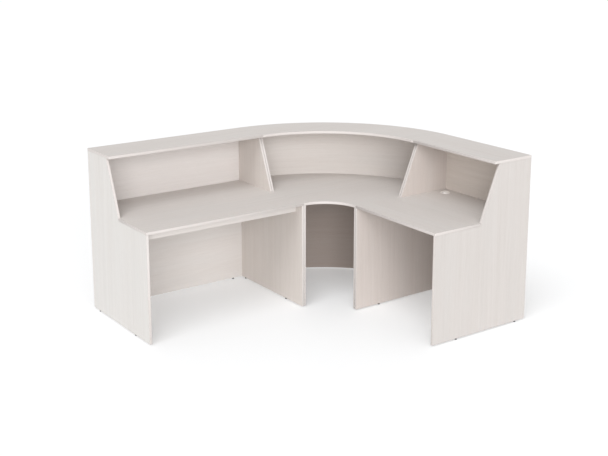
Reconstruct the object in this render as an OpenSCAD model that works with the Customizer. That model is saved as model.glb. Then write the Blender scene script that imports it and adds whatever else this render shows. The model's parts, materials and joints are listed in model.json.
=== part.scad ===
// Checkout counter: a long straight section, a quarter-round corner and a short straight section,
// each built from flat-pack boards and bolted to its neighbour.
// +Z up, the floor is Z = 0 and the footprint is centred on the origin. The long section runs along
// -X and the short one along -Y from the corner; the staff stand in the inner angle.

/* [Sections] */
// Width of the long straight section
long_w = 1200; // [900:50:1600]
// Width of the short straight section
short_w = 800; // [650:50:1200]
// Depth of every section, from the customer side to the staff side
depth = 830; // [780:10:900]
// Radius of the corner worktop's staff-side edge
corner_r = 250; // [200:10:400]

/* [Heights] */
// Top face of the ledge above the floor
ledge_h = 1140; // [1060:10:1200]
// Top face of the worktop above the floor
worktop_h = 750; // [720:5:770]
// Gap between the boards and the floor
floor_gap = 10; // [10:1:14]

/* [Boards] */
// Thickness of the side panels, fronts and rail
board_t = 16; // [16:1:19]
// Thickness of the worktops and ledges
top_t = 18; // [18:1:25]
// Thickness of the edge banding
band_t = 2; // [0.5:0.5:2]

/* [Side panels and ledge] */
// Depth of a side panel's top edge
side_top_d = 290; // [260:5:310]
// Depth of a side panel where its slanting edge meets the worktop
slant_d = 440; // [400:5:470]
// Depth of the ledge
ledge_d = 330; // [320:5:360]

/* [Fronts] */
// Inset of the upper front from the side panels' customer edges
upper_inset = 5; // [2:1:10]
// Bottom edge of the upper front above the floor
upper_bottom_h = 690; // [640:5:700]
// Inset of the lower front from the side panels' customer edges
lower_inset = 30; // [28:1:60]

/* [Rail] */
// Setback of the stiffening rail from the worktop's staff edge
rail_setback = 75; // [60:5:120]
// Height of the stiffening rail
rail_h = 55; // [40:5:90]

/* [Feet] */
// Radius of a levelling foot's pad
foot_r = 7; // [6:0.5:7.5]
// Distance of the customer-side feet from the customer edge
foot_customer_d = 85; // [70:5:120]
// Distance of the staff-side feet from the staff edge
foot_staff_d = 210; // [100:10:260]
// Distance of a front's feet from the side panels
front_foot_gap = 75; // [50:5:150]

/* [Cable grommet] */
// Radius of the hole in the worktop
grommet_r = 30; // [25:1:35]
// Distance of the grommet from the customer edge
grommet_d = 100; // [80:5:140]
// Distance of the grommet from the inner side panel
grommet_gap = 80; // [60:5:200]

/* [Hidden] */
$fn = 96;
// Corner centre, outer radius and the heights where boards meet
outer_r = corner_r + depth;
centre_x = (long_w - outer_r) / 2;
centre_y = (short_w - outer_r) / 2;
panel_top = ledge_h - top_t;
worktop_under = worktop_h - top_t;
upper_back_d = upper_inset + board_t;
lower_back_d = lower_inset + board_t;
slant_band = band_t * sqrt(1 + pow((slant_d - side_top_d) / (panel_top - worktop_h), 2));
// Clearances: a notch round an upright, a glue line on a curved edge, a bore round a fitting
notch_gap = 0.5;
glue = 0.1;
eps = 0.01;

// Cam fitting, measured from the joint plane along the bolt
cam_r = 7.4;
cam_bore_r = 7.6;
cam_setback = 34;
cam_depth = 12.5;
cap_t = 1;
bolt_r = 3;
bolt_bore_r = 3.6;
thread_r = 2.5;
thread_bore_r = 2.6;
thread_len = 11;
dowel_r = 3.9;
dowel_bore_r = 4;
dowel_in = 17;
bore_spare = 0.5;
// Where the cam fittings and dowels sit along each joint
ledge_cam_d = [60, 240];
ledge_dowel_d = [150];
worktop_cam_d = [500, 780];
worktop_dowel_d = [640];
upper_cam_z = [upper_bottom_h + 22, panel_top - 42];
upper_dowel_z = [900];
lower_cam_z = [60, 470, worktop_under - 42];
lower_dowel_z = [250, 600];
rail_z = worktop_under - rail_h / 2;
rail_front_d = depth - rail_setback;

// Connector bolts that join two sections: [depth, height]
connector_at = [[100, 1088], [110, 640], [110, 480], [590, 690]];
connector_head_r = 7;
connector_head_t = 1.6;
connector_r = 3;
connector_len = 26;
sleeve_r = 4;
sleeve_bore_r = 3.05;
sleeve_len = 24;
connector_bore_r = 4.1;

// Angle brackets behind the fronts and their screws
bracket_leg = 30;
bracket_w = 18;
bracket_t = 1.5;
screw_at = 19;
screw_r = 1.9;
screw_len = 12;
screw_head_r = 3.6;
screw_head_t = 2;
screw_bore_r = 2;
bracket_hole_r = 2.2;

// Levelling feet and the threaded sockets in the boards' bottom edges
socket_r = 5;
socket_bore_r = 3.02;
socket_len = 20;
foot_stem_r = 2.95;
foot_stem_len = 18;
foot_pad_h = 5;
foot_hex_r = 5.2;
foot_hex_h = 2.5;
foot_chamfer = 1;

// Grommet: sleeve in the worktop, lift-out cap with a cable slot, shutter turning on the cap
flange_r = grommet_r + 4.5;
flange_t = 2;
sleeve_wall = 2.2;
cap_r = grommet_r;
cap_disc_t = 2.5;
cap_skirt_h = 10;
cap_skirt_wall = 2;
cap_clear = 0.4;
slot_w = 16;
slot_in = 15;
pivot_r = 3;
pivot_bore_r = 3.06;
pivot_head_r = 4.4;
pivot_head_t = 0.8;
shutter_r = grommet_r - 4;
shutter_t = 1.6;
shutter_gap = 0.3;
grip_h = 1.4;
grip_w = 2.4;

board_colour = [0.84, 0.81, 0.77];
band_colour = [0.91, 0.88, 0.84];
steel_colour = [0.72, 0.73, 0.74];
zinc_colour = [0.62, 0.63, 0.65];
beech_colour = [0.79, 0.64, 0.45];
black_colour = [0.12, 0.12, 0.12];
plastic_colour = [0.88, 0.85, 0.82];

// Side panels: [frame, distance from the section boundary, side that its front meets, has the rail]
LONG_INNER = ["long", 0, 1, true];
LONG_END = ["long", long_w - board_t, -1, true];
CORNER_LEFT = ["long", -board_t, -1, false];
CORNER_RIGHT = ["short", -board_t, -1, false];
SHORT_INNER = ["short", 0, 1, false];
SHORT_END = ["short", short_w - board_t, -1, false];
PANELS = [LONG_INNER, LONG_END, CORNER_LEFT, CORNER_RIGHT, SHORT_INNER, SHORT_END];
PANEL_NAMES = ["long_inner", "long_end", "corner_left", "corner_right", "short_inner", "short_end"];

// Feet: [node name, frame, distance along the section or angle, depth]
customer_foot = foot_customer_d;
staff_foot = depth - foot_staff_d;
front_foot = lower_inset + board_t / 2;
PANEL_FEET = [for (i = [0 : len(PANELS) - 1], staff = [false, true])
    [str(PANEL_NAMES[i], staff ? "_staff_foot" : "_customer_foot"), PANELS[i][0],
     PANELS[i][1] + board_t / 2, staff ? staff_foot : customer_foot]];
FRONT_FEET = [
    ["long_front_foot_near", "long", board_t + front_foot_gap, front_foot],
    ["long_front_foot_far", "long", long_w - board_t - front_foot_gap, front_foot],
    ["corner_front_foot_left", "corner", 65, front_foot],
    ["corner_front_foot_right", "corner", 25, front_foot],
    ["short_front_foot_near", "short", board_t + front_foot_gap, front_foot],
    ["short_front_foot_far", "short", short_w - board_t - front_foot_gap, front_foot],
];
FEET = concat(PANEL_FEET, FRONT_FEET);

// Angle brackets: [frame, distance along the section or angle]
BRACKETS = [
    ["long", long_w * 0.25], ["long", long_w * 0.5], ["long", long_w * 0.75],
    ["corner", 70], ["corner", 45], ["corner", 20],
    ["short", short_w * 0.35], ["short", short_w * 0.75],
];

// ---- Frames: x runs along a section away from the corner, y from the customer side inwards ----

module long_frame() {
    translate([centre_x, centre_y + outer_r, 0]) rotate(180) children();
}

module short_frame() {
    translate([centre_x + outer_r, centre_y, 0]) mirror([1, 1, 0]) children();
}

// The same frame at an angle round the corner, where x is along the tangent
module corner_frame(angle) {
    translate([centre_x, centre_y, 0]) rotate(angle + 90) translate([0, -outer_r, 0]) children();
}

module straight_frame(frame) {
    if (frame == "long") long_frame() children();
    if (frame == "short") short_frame() children();
}

// A place given as a frame and either a distance along it or, in the corner, an angle
module place(frame, along) {
    if (frame == "corner") corner_frame(along) children();
    else straight_frame(frame) translate([along, 0, 0]) children();
}

// A quarter ring about the corner's centre
module quarter_ring(r0, r1, z0, z1) {
    translate([centre_x, centre_y, z0])
        rotate_extrude(angle = 90, $fn = 180) translate([r0, 0]) square([r1 - r0, z1 - z0]);
}

// What lies between the corner's two side panels
module between_corner_panels(gap = 0) {
    inset = board_t + gap;
    translate([centre_x + inset, centre_y + inset, 0]) cube([outer_r, outer_r, ledge_h]);
}

// ---- Fittings: +Z runs from the board that holds the cam into the board that holds the bolt, ----
// ---- and the cam's mouth faces +X ----

module cam_void() {
    translate([board_t / 2 - cam_depth, 0, -cam_setback])
        rotate([0, 90, 0]) cylinder(r = cam_bore_r, h = cam_depth + 2);
    translate([0, 0, -cam_setback]) cylinder(r = bolt_bore_r, h = cam_setback);
    translate([0, 0, -eps]) cylinder(r = thread_bore_r, h = thread_len + bore_spare);
}

module cam_housing() {
    difference() {
        translate([board_t / 2 - cam_depth, 0, -cam_setback])
            rotate([0, 90, 0]) cylinder(r = cam_r, h = cam_depth - cap_t - 0.2);
        translate([0, 0, -cam_setback - bolt_bore_r]) cylinder(r = bolt_bore_r, h = cam_setback);
        translate([board_t / 2 - cap_t - 3, 0, -cam_setback])
            rotate([0, 90, 0]) cylinder(r = 2.5, h = 4, $fn = 6);
    }
}

module cam_bolt() {
    translate([0, 0, -cam_setback + 1]) cylinder(r = bolt_r, h = 4);
    translate([0, 0, -cam_setback + 1]) cylinder(r = bolt_r - 1, h = cam_setback - 1);
    translate([0, 0, -12]) cylinder(r = bolt_r, h = 12);
    cylinder(r = thread_r, h = thread_len);
}

module cam_cap() {
    translate([board_t / 2 - cap_t, 0, -cam_setback])
        rotate([0, 90, 0]) cylinder(r = cam_r, h = cap_t);
}

module dowel_void() {
    translate([0, 0, -dowel_in - bore_spare]) cylinder(r = dowel_bore_r, h = dowel_in + bore_spare);
    translate([0, 0, -eps]) cylinder(r = dowel_bore_r, h = thread_len + bore_spare);
}

module dowel() {
    translate([0, 0, -dowel_in]) cylinder(r = dowel_r, h = dowel_in + thread_len);
}

// Fitting in the top edge of a side panel, its cam opening towards the corner
module at_top(along, deep, z) {
    translate([along, deep, z]) rotate([0, 0, 180]) children();
}

// Fitting in the end of a front, its cam opening towards the staff
module at_front(along, deep, z, dir) {
    translate([along, deep, z]) rotate([0, dir > 0 ? 0 : 180, 0]) rotate([90, 0, 90]) children();
}

// Fitting in the end of the rail, its cam opening towards the customer
module at_rail(along, dir) {
    translate([along, rail_front_d - board_t / 2, rail_z]) rotate([180, 0, 0])
        rotate([0, dir > 0 ? 0 : 180, 0]) rotate([90, 0, 90]) children();
}

// Every joint of one side panel takes a cam fitting at these places, in its own frame
function panel_mid(p) = p[1] + board_t / 2;
function front_plane(p) = p[2] > 0 ? p[1] + board_t : p[1];
// A curved front falls away from the joint's tangent, so its cams sit a little further in
function front_drop(p) = abs(p[1] + board_t) < eps ? 1.2 : 0;

module at_ledge_joint(p, places) {
    for (d = places) at_top(panel_mid(p), d, panel_top) children();
}

module at_worktop_joint(p, places) {
    for (d = places) at_top(panel_mid(p), d, worktop_under) children();
}

module at_upper_joint(p, places) {
    deep = upper_inset + board_t / 2 + front_drop(p);
    for (z = places) at_front(front_plane(p), deep, z, -p[2]) children();
}

module at_lower_joint(p, places) {
    deep = lower_inset + board_t / 2 + front_drop(p);
    for (z = places) at_front(front_plane(p), deep, z, -p[2]) children();
}

module at_rail_joint(p) {
    if (p[3]) at_rail(front_plane(p), -p[2]) children();
}

module front_cams(p) {
    at_upper_joint(p, upper_cam_z) children();
    at_lower_joint(p, lower_cam_z) children();
    at_rail_joint(p) children();
}

module top_cams(p) {
    at_ledge_joint(p, ledge_cam_d) children();
    at_worktop_joint(p, worktop_cam_d) children();
}

module all_dowels(p) {
    at_ledge_joint(p, ledge_dowel_d) children();
    at_worktop_joint(p, worktop_dowel_d) children();
    at_upper_joint(p, upper_dowel_z) children();
    at_lower_joint(p, lower_dowel_z) children();
}

// The connector bolts of the boundary that a frame starts at, with +Z away from the corner
module at_connectors() {
    for (c = connector_at) translate([0, c[0], c[1]]) rotate([0, 90, 0]) children();
}

module foot_void() {
    translate([0, 0, floor_gap - eps]) cylinder(r = socket_r + 0.05, h = socket_len + 1);
}

// ---- Boards ----

module side_outline() {
    polygon([
        [band_t, floor_gap],
        [depth - band_t, floor_gap],
        [depth - band_t, worktop_under],
        [slant_d, worktop_under],
        [slant_d, worktop_h],
        [slant_d - slant_band, worktop_h],
        [side_top_d - slant_band, panel_top],
        [band_t, panel_top],
    ]);
}

// A side panel's outline stands in the depth-height plane and is as thick as the board
module upright(along) {
    translate([along, 0, 0]) rotate([90, 0, 90]) linear_extrude(board_t) children();
}

module side_panel(p) {
    color(board_colour) straight_frame(p[0]) difference() {
        upright(p[1]) side_outline();
        top_cams(p) cam_void();
        front_cams(p) cam_void();
        all_dowels(p) dowel_void();
        if (abs(p[1]) < board_t + eps)
            translate([-2 * board_t, 0, 0]) at_connectors()
                cylinder(r = connector_bore_r, h = 4 * board_t);
        for (d = [customer_foot, staff_foot]) translate([panel_mid(p), d, 0]) foot_void();
    }
}

// A straight worktop is notched round the two uprights
module straight_worktop(w) {
    back = upper_back_d + notch_gap;
    notch_d = slant_d + notch_gap - back;
    difference() {
        translate([0, back, worktop_under]) cube([w - band_t, depth - band_t - back, top_t]);
        for (along = [-eps, w - board_t - notch_gap])
            translate([along, back - eps, worktop_under - eps])
                cube([board_t + notch_gap + 2 * eps, notch_d + eps, top_t + 2 * eps]);
    }
}

module straight_ledge(w) {
    translate([0, band_t, panel_top]) cube([w - band_t, ledge_d - 2 * band_t, top_t]);
}

module straight_front(w, inset, z0, z1) {
    translate([board_t, inset, z0]) cube([w - 2 * board_t, board_t, z1 - z0]);
}

// Pilot bores for the screws of the brackets on one frame
module bracket_bores(frame, back_d, top_z) {
    for (b = BRACKETS) if (b[0] == frame) place(b[0], b[1]) translate([0, back_d, top_z])
        bracket_places() cylinder(r = screw_bore_r, h = screw_len + bore_spare);
}

module long_worktop() {
    color(board_colour) difference() {
        long_frame() straight_worktop(long_w);
        long_frame() for (p = [LONG_INNER, LONG_END]) {
            at_worktop_joint(p, worktop_cam_d) cam_void();
            at_worktop_joint(p, worktop_dowel_d) dowel_void();
        }
        bracket_bores("long", lower_back_d, worktop_under);
    }
}

module short_worktop() {
    color(board_colour) difference() {
        short_frame() straight_worktop(short_w);
        short_frame() for (p = [SHORT_INNER, SHORT_END]) {
            at_worktop_joint(p, worktop_cam_d) cam_void();
            at_worktop_joint(p, worktop_dowel_d) dowel_void();
        }
        bracket_bores("short", lower_back_d, worktop_under);
        at_grommet() translate([0, 0, -2 * top_t]) cylinder(r = grommet_r, h = 3 * top_t);
    }
}

module corner_worktop() {
    notch_d = outer_r - slant_d - notch_gap;
    notch_t = board_t + notch_gap;
    color(board_colour) difference() {
        quarter_ring(corner_r + band_t + glue, outer_r - upper_back_d - notch_gap, worktop_under,
            worktop_h);
        translate([centre_x - 1, centre_y + notch_d, 0]) cube([notch_t + 1, outer_r, ledge_h]);
        translate([centre_x + notch_d, centre_y - 1, 0]) cube([outer_r, notch_t + 1, ledge_h]);
        for (p = [CORNER_LEFT, CORNER_RIGHT]) straight_frame(p[0]) {
            at_worktop_joint(p, worktop_cam_d) cam_void();
            at_worktop_joint(p, worktop_dowel_d) dowel_void();
        }
        bracket_bores("corner", lower_back_d + glue, worktop_under);
    }
}

module long_ledge() {
    color(board_colour) difference() {
        long_frame() straight_ledge(long_w);
        long_frame() for (p = [LONG_INNER, LONG_END]) {
            at_ledge_joint(p, ledge_cam_d) cam_void();
            at_ledge_joint(p, ledge_dowel_d) dowel_void();
        }
        bracket_bores("long", upper_back_d, panel_top);
    }
}

module short_ledge() {
    color(board_colour) difference() {
        short_frame() straight_ledge(short_w);
        short_frame() for (p = [SHORT_INNER, SHORT_END]) {
            at_ledge_joint(p, ledge_cam_d) cam_void();
            at_ledge_joint(p, ledge_dowel_d) dowel_void();
        }
        bracket_bores("short", upper_back_d, panel_top);
    }
}

module corner_ledge() {
    edge = band_t + glue;
    color(board_colour) difference() {
        quarter_ring(outer_r - ledge_d + edge, outer_r - edge, panel_top, ledge_h);
        for (p = [CORNER_LEFT, CORNER_RIGHT]) straight_frame(p[0]) {
            at_ledge_joint(p, ledge_cam_d) cam_void();
            at_ledge_joint(p, ledge_dowel_d) dowel_void();
        }
        bracket_bores("corner", upper_back_d + glue, panel_top);
    }
}

module upper_voids(p) {
    straight_frame(p[0]) {
        at_upper_joint(p, upper_cam_z) cam_void();
        at_upper_joint(p, upper_dowel_z) dowel_void();
    }
}

module lower_voids(p) {
    straight_frame(p[0]) {
        at_lower_joint(p, lower_cam_z) cam_void();
        at_lower_joint(p, lower_dowel_z) dowel_void();
    }
}

module front_foot_voids(frame) {
    for (f = FRONT_FEET) if (f[1] == frame) place(f[1], f[2]) translate([0, f[3], 0]) foot_void();
}

module long_upper_front() {
    color(board_colour) difference() {
        long_frame() straight_front(long_w, upper_inset, upper_bottom_h, panel_top);
        for (p = [LONG_INNER, LONG_END]) upper_voids(p);
        bracket_bores("long", upper_back_d, panel_top);
    }
}

module short_upper_front() {
    color(board_colour) difference() {
        short_frame() straight_front(short_w, upper_inset, upper_bottom_h, panel_top);
        for (p = [SHORT_INNER, SHORT_END]) upper_voids(p);
        bracket_bores("short", upper_back_d, panel_top);
    }
}

module corner_upper_front() {
    color(board_colour) difference() {
        intersection() {
            quarter_ring(outer_r - upper_back_d, outer_r - upper_inset, upper_bottom_h, panel_top);
            between_corner_panels();
        }
        for (p = [CORNER_LEFT, CORNER_RIGHT]) upper_voids(p);
        bracket_bores("corner", upper_back_d + glue, panel_top);
    }
}

module long_lower_front() {
    color(board_colour) difference() {
        long_frame() straight_front(long_w, lower_inset, floor_gap, worktop_under);
        for (p = [LONG_INNER, LONG_END]) lower_voids(p);
        front_foot_voids("long");
        bracket_bores("long", lower_back_d, worktop_under);
    }
}

module short_lower_front() {
    color(board_colour) difference() {
        short_frame() straight_front(short_w, lower_inset, floor_gap, worktop_under);
        for (p = [SHORT_INNER, SHORT_END]) lower_voids(p);
        front_foot_voids("short");
        bracket_bores("short", lower_back_d, worktop_under);
    }
}

module corner_lower_front() {
    color(board_colour) difference() {
        intersection() {
            quarter_ring(outer_r - lower_back_d, outer_r - lower_inset, floor_gap, worktop_under);
            between_corner_panels();
        }
        for (p = [CORNER_LEFT, CORNER_RIGHT]) lower_voids(p);
        front_foot_voids("corner");
        bracket_bores("corner", lower_back_d + glue, worktop_under);
    }
}

module long_rail() {
    color(board_colour) long_frame() difference() {
        translate([board_t, rail_front_d - board_t, worktop_under - rail_h])
            cube([long_w - 2 * board_t, board_t, rail_h]);
        for (p = [LONG_INNER, LONG_END]) at_rail_joint(p) cam_void();
    }
}

// ---- Edge banding ----

module side_bands(p) {
    upright(p[1]) {
        translate([0, floor_gap]) square([band_t, panel_top - floor_gap]);
        translate([depth - band_t, floor_gap]) square([band_t, worktop_under - floor_gap]);
        polygon([
            [slant_d, worktop_h],
            [side_top_d, panel_top],
            [side_top_d - slant_band, panel_top],
            [slant_d - slant_band, worktop_h],
        ]);
    }
}

module straight_bands(w) {
    notch_end = slant_d + notch_gap;
    translate([0, depth - band_t, worktop_under]) cube([w - band_t, band_t, top_t]);
    translate([w - band_t, notch_end, worktop_under]) cube([band_t, depth - notch_end, top_t]);
    for (d = [0, ledge_d - band_t]) translate([0, d, panel_top]) cube([w - band_t, band_t, top_t]);
    translate([w - band_t, 0, panel_top]) cube([band_t, ledge_d, top_t]);
}

module long_edge_bands() {
    color(band_colour) long_frame() {
        straight_bands(long_w);
        side_bands(LONG_INNER);
        side_bands(LONG_END);
    }
}

module short_edge_bands() {
    color(band_colour) short_frame() {
        straight_bands(short_w);
        side_bands(SHORT_INNER);
        side_bands(SHORT_END);
    }
}

module corner_edge_bands() {
    color(band_colour) {
        quarter_ring(corner_r, corner_r + band_t, worktop_under, worktop_h);
        quarter_ring(outer_r - ledge_d, outer_r - ledge_d + band_t, panel_top, ledge_h);
        quarter_ring(outer_r - band_t, outer_r, panel_top, ledge_h);
        long_frame() side_bands(CORNER_LEFT);
        short_frame() side_bands(CORNER_RIGHT);
    }
}

// ---- Fittings as nodes ----

module cam_housings() {
    color(zinc_colour) for (p = PANELS) straight_frame(p[0]) {
        top_cams(p) cam_housing();
        front_cams(p) cam_housing();
    }
}

module cam_bolts() {
    color(steel_colour) for (p = PANELS) straight_frame(p[0]) {
        top_cams(p) cam_bolt();
        front_cams(p) cam_bolt();
    }
}

module cam_caps() {
    color(plastic_colour) for (p = PANELS) straight_frame(p[0]) {
        // The top cams of the inner panels open into the joint with the next section
        if (p[1] != 0) top_cams(p) cam_cap();
        front_cams(p) cam_cap();
    }
}

module dowels() {
    color(beech_colour) for (p = PANELS) straight_frame(p[0]) all_dowels(p) dowel();
}

module connector_bolts() {
    color(steel_colour) for (frame = ["long", "short"]) straight_frame(frame) at_connectors()
        translate([0, 0, board_t]) {
            cylinder(r = connector_head_r, h = connector_head_t);
            translate([0, 0, -connector_len]) cylinder(r = connector_r, h = connector_len);
        }
}

module connector_sleeves() {
    color(steel_colour) for (frame = ["long", "short"]) straight_frame(frame) at_connectors()
        difference() {
            union() {
                translate([0, 0, -board_t - connector_head_t])
                    cylinder(r = connector_head_r, h = connector_head_t);
                translate([0, 0, -board_t]) cylinder(r = sleeve_r, h = sleeve_len);
            }
            translate([0, 0, -board_t + 1]) cylinder(r = sleeve_bore_r, h = sleeve_len);
        }
}

// Both screw places of a bracket, with +Z from the bracket into the board
module bracket_places() {
    translate([0, screw_at, 0]) children();
    translate([0, 0, -screw_at]) rotate([90, 0, 0]) children();
}

module angle_bracket() {
    half = bracket_w / 2;
    difference() {
        union() {
            translate([-half, 0, -bracket_t]) cube([bracket_w, bracket_leg, bracket_t]);
            translate([-half, 0, -bracket_leg]) cube([bracket_w, bracket_t, bracket_leg]);
        }
        bracket_places() translate([0, 0, -bracket_t - 1])
            cylinder(r = bracket_hole_r, h = bracket_t + 2);
    }
}

module bracket_screw() {
    translate([0, 0, -bracket_t]) cylinder(r = screw_r, h = bracket_t + screw_len);
    translate([0, 0, -bracket_t - screw_head_t]) cylinder(r = screw_head_r, h = screw_head_t);
}

// A bracket hangs under the ledge and under the worktop at each place
module at_brackets() {
    for (b = BRACKETS) {
        curve_gap = b[0] == "corner" ? glue : 0;
        place(b[0], b[1]) {
            translate([0, upper_back_d + curve_gap, panel_top]) children();
            translate([0, lower_back_d + curve_gap, worktop_under]) children();
        }
    }
}

module angle_brackets() {
    color(steel_colour) at_brackets() angle_bracket();
}

module bracket_screws() {
    color(zinc_colour) at_brackets() bracket_places() bracket_screw();
}

// ---- Feet ----

module foot_sockets() {
    color(zinc_colour) for (f = FEET) place(f[1], f[2]) translate([0, f[3], floor_gap])
        difference() {
            cylinder(r = socket_r, h = socket_len);
            translate([0, 0, -1]) cylinder(r = socket_bore_r, h = socket_len + 2);
        }
}

module levelling_foot() {
    cylinder(r1 = foot_r - foot_chamfer, r2 = foot_r, h = foot_chamfer);
    translate([0, 0, foot_chamfer]) cylinder(r = foot_r, h = foot_pad_h - foot_chamfer);
    translate([0, 0, foot_pad_h]) cylinder(r = foot_hex_r, h = foot_hex_h, $fn = 6);
    translate([0, 0, foot_pad_h]) cylinder(r = foot_stem_r, h = foot_hex_h + foot_stem_len);
}

module foot(f) {
    color(black_colour) place(f[1], f[2]) translate([0, f[3], 0]) levelling_foot();
}

// ---- Cable grommet ----

module at_grommet() {
    short_frame() translate([board_t + grommet_gap, grommet_d, worktop_h]) children();
}

module grommet_sleeve() {
    tube_r = grommet_r - 0.2;
    color(plastic_colour) at_grommet() difference() {
        union() {
            cylinder(r = flange_r, h = flange_t);
            translate([0, 0, -top_t]) cylinder(r = tube_r, h = top_t + flange_t);
        }
        translate([0, 0, -top_t - 1]) cylinder(r = tube_r - sleeve_wall, h = top_t + flange_t + 2);
    }
}

// The cable slot is open to the cap's rim and ends in a half round
module cable_slot() {
    translate([0, 0, -cap_skirt_h - flange_t - 1]) {
        translate([0, slot_in, 0]) cylinder(r = slot_w / 2, h = 2 * cap_skirt_h + flange_t);
        translate([-slot_w / 2, slot_in, 0]) cube([slot_w, cap_r, 2 * cap_skirt_h + flange_t]);
    }
}

module grommet_cap() {
    skirt_r = grommet_r - 0.2 - sleeve_wall - cap_clear;
    pivot_h = cap_disc_t + shutter_t + 2 * shutter_gap;
    color(plastic_colour) at_grommet() translate([0, 0, flange_t]) difference() {
        union() {
            translate([0, 0, shutter_gap]) cylinder(r = cap_r, h = cap_disc_t);
            translate([0, 0, -cap_skirt_h]) difference() {
                cylinder(r = skirt_r, h = cap_skirt_h + shutter_gap + eps);
                translate([0, 0, -1])
                    cylinder(r = skirt_r - cap_skirt_wall, h = cap_skirt_h + shutter_gap + 2);
            }
            translate([0, 0, shutter_gap]) cylinder(r = pivot_r, h = pivot_h);
            translate([0, 0, shutter_gap + pivot_h]) cylinder(r = pivot_head_r, h = pivot_head_t);
        }
        cable_slot();
    }
}

// The shutter is a round plate with a slot of its own, turned by a low grip bar
module grommet_shutter() {
    color(plastic_colour) at_grommet()
        translate([0, 0, flange_t + cap_disc_t + 2 * shutter_gap]) difference() {
            union() {
                cylinder(r = shutter_r, h = shutter_t);
                translate([-shutter_r * 0.6, -shutter_r / 2 - grip_w, 0])
                    cube([shutter_r * 1.2, grip_w, shutter_t + grip_h]);
            }
            translate([0, 0, -1]) cylinder(r = pivot_bore_r, h = shutter_t + 2);
            cable_slot();
        }
}

side_panel(LONG_INNER);  // long_inner_panel
side_panel(LONG_END);  // long_end_panel
side_panel(CORNER_LEFT);  // corner_left_panel
side_panel(CORNER_RIGHT);  // corner_right_panel
side_panel(SHORT_INNER);  // short_inner_panel
side_panel(SHORT_END);  // short_end_panel
long_worktop();
corner_worktop();
short_worktop();
long_ledge();
corner_ledge();
short_ledge();
long_upper_front();
corner_upper_front();
short_upper_front();
long_lower_front();
corner_lower_front();
short_lower_front();
long_rail();
long_edge_bands();
corner_edge_bands();
short_edge_bands();
cam_housings();
cam_bolts();
cam_caps();
dowels();
connector_bolts();
connector_sleeves();
angle_brackets();
bracket_screws();
foot_sockets();
grommet_sleeve();
grommet_cap();
grommet_shutter();
for (f = FEET) {
    foot(f);
}
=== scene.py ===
"""The looks of the checkout counter: bleached-wood boards, rounded edge banding, feet, grommet and fittings.
Lengths are in metres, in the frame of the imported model."""

import json
import math
import random

import bmesh
import bpy
import numpy as np
from mathutils import Matrix, Vector

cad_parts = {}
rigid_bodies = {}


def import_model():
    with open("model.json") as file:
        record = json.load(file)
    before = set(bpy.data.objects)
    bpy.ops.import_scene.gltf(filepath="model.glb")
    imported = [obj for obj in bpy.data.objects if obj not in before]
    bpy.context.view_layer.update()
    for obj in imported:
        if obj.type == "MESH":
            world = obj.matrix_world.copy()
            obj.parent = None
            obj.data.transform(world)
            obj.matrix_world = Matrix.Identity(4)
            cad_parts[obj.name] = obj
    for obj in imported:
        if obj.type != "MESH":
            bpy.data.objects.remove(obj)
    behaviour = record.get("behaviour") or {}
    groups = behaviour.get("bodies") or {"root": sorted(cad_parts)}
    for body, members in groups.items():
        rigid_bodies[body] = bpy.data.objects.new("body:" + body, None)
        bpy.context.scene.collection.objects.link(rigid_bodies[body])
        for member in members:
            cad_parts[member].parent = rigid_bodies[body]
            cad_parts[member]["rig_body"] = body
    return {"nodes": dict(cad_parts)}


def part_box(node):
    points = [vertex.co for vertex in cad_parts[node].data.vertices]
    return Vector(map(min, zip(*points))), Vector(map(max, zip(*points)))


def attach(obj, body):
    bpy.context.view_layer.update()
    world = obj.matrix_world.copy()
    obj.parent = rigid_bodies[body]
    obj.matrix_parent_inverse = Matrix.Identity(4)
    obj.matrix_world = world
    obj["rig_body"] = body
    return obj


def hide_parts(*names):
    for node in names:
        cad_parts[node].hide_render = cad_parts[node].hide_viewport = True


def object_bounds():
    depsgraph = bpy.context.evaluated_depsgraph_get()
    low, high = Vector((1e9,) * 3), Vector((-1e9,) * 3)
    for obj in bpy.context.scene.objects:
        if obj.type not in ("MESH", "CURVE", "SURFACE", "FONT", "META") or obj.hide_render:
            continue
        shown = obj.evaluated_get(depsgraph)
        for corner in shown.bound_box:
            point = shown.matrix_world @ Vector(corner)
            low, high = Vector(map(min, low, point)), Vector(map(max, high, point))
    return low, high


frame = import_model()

MM = 0.001
cad_lo, cad_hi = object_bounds()

# ---- Places, from the frame ----

BAND_T = cad_hi.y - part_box("long_end_panel")[1].y
SLANT_TOP_D = 290 * MM
SLANT_FOOT_D = 440 * MM
NOTCH_GAP = 0.5 * MM

ring_lo, ring_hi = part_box("corner_edge_bands")
CENTRE = Vector((ring_lo.x, ring_lo.y, 0))
OUTER_R = ring_hi.x - ring_lo.x
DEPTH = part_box("long_end_panel")[1].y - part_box("long_end_panel")[0].y + 2 * BAND_T
INNER_R = OUTER_R - DEPTH
LONG_W = CENTRE.x - cad_lo.x
SHORT_W = CENTRE.y - cad_lo.y
FLOOR_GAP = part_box("long_end_panel")[0].z
PANEL_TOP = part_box("long_ledge")[0].z
LEDGE_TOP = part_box("long_ledge")[1].z
WORKTOP_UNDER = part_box("long_worktop")[0].z
WORKTOP_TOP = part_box("long_worktop")[1].z
LEDGE_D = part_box("long_ledge")[1].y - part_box("long_ledge")[0].y + 2 * BAND_T
BOARD_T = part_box("long_end_panel")[1].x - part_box("long_end_panel")[0].x
UP = Vector((0, 0, 1))


class Section:
    """A section's own directions: along it from the corner, and deep from its customer edge inwards."""

    def __init__(self, name, origin, along, deep, width):
        self.name = name
        self.origin = origin
        self.along = along
        self.deep = deep
        self.width = width

    def at(self, along, deep, z):
        return self.origin + self.along * along + self.deep * deep + UP * z


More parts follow.
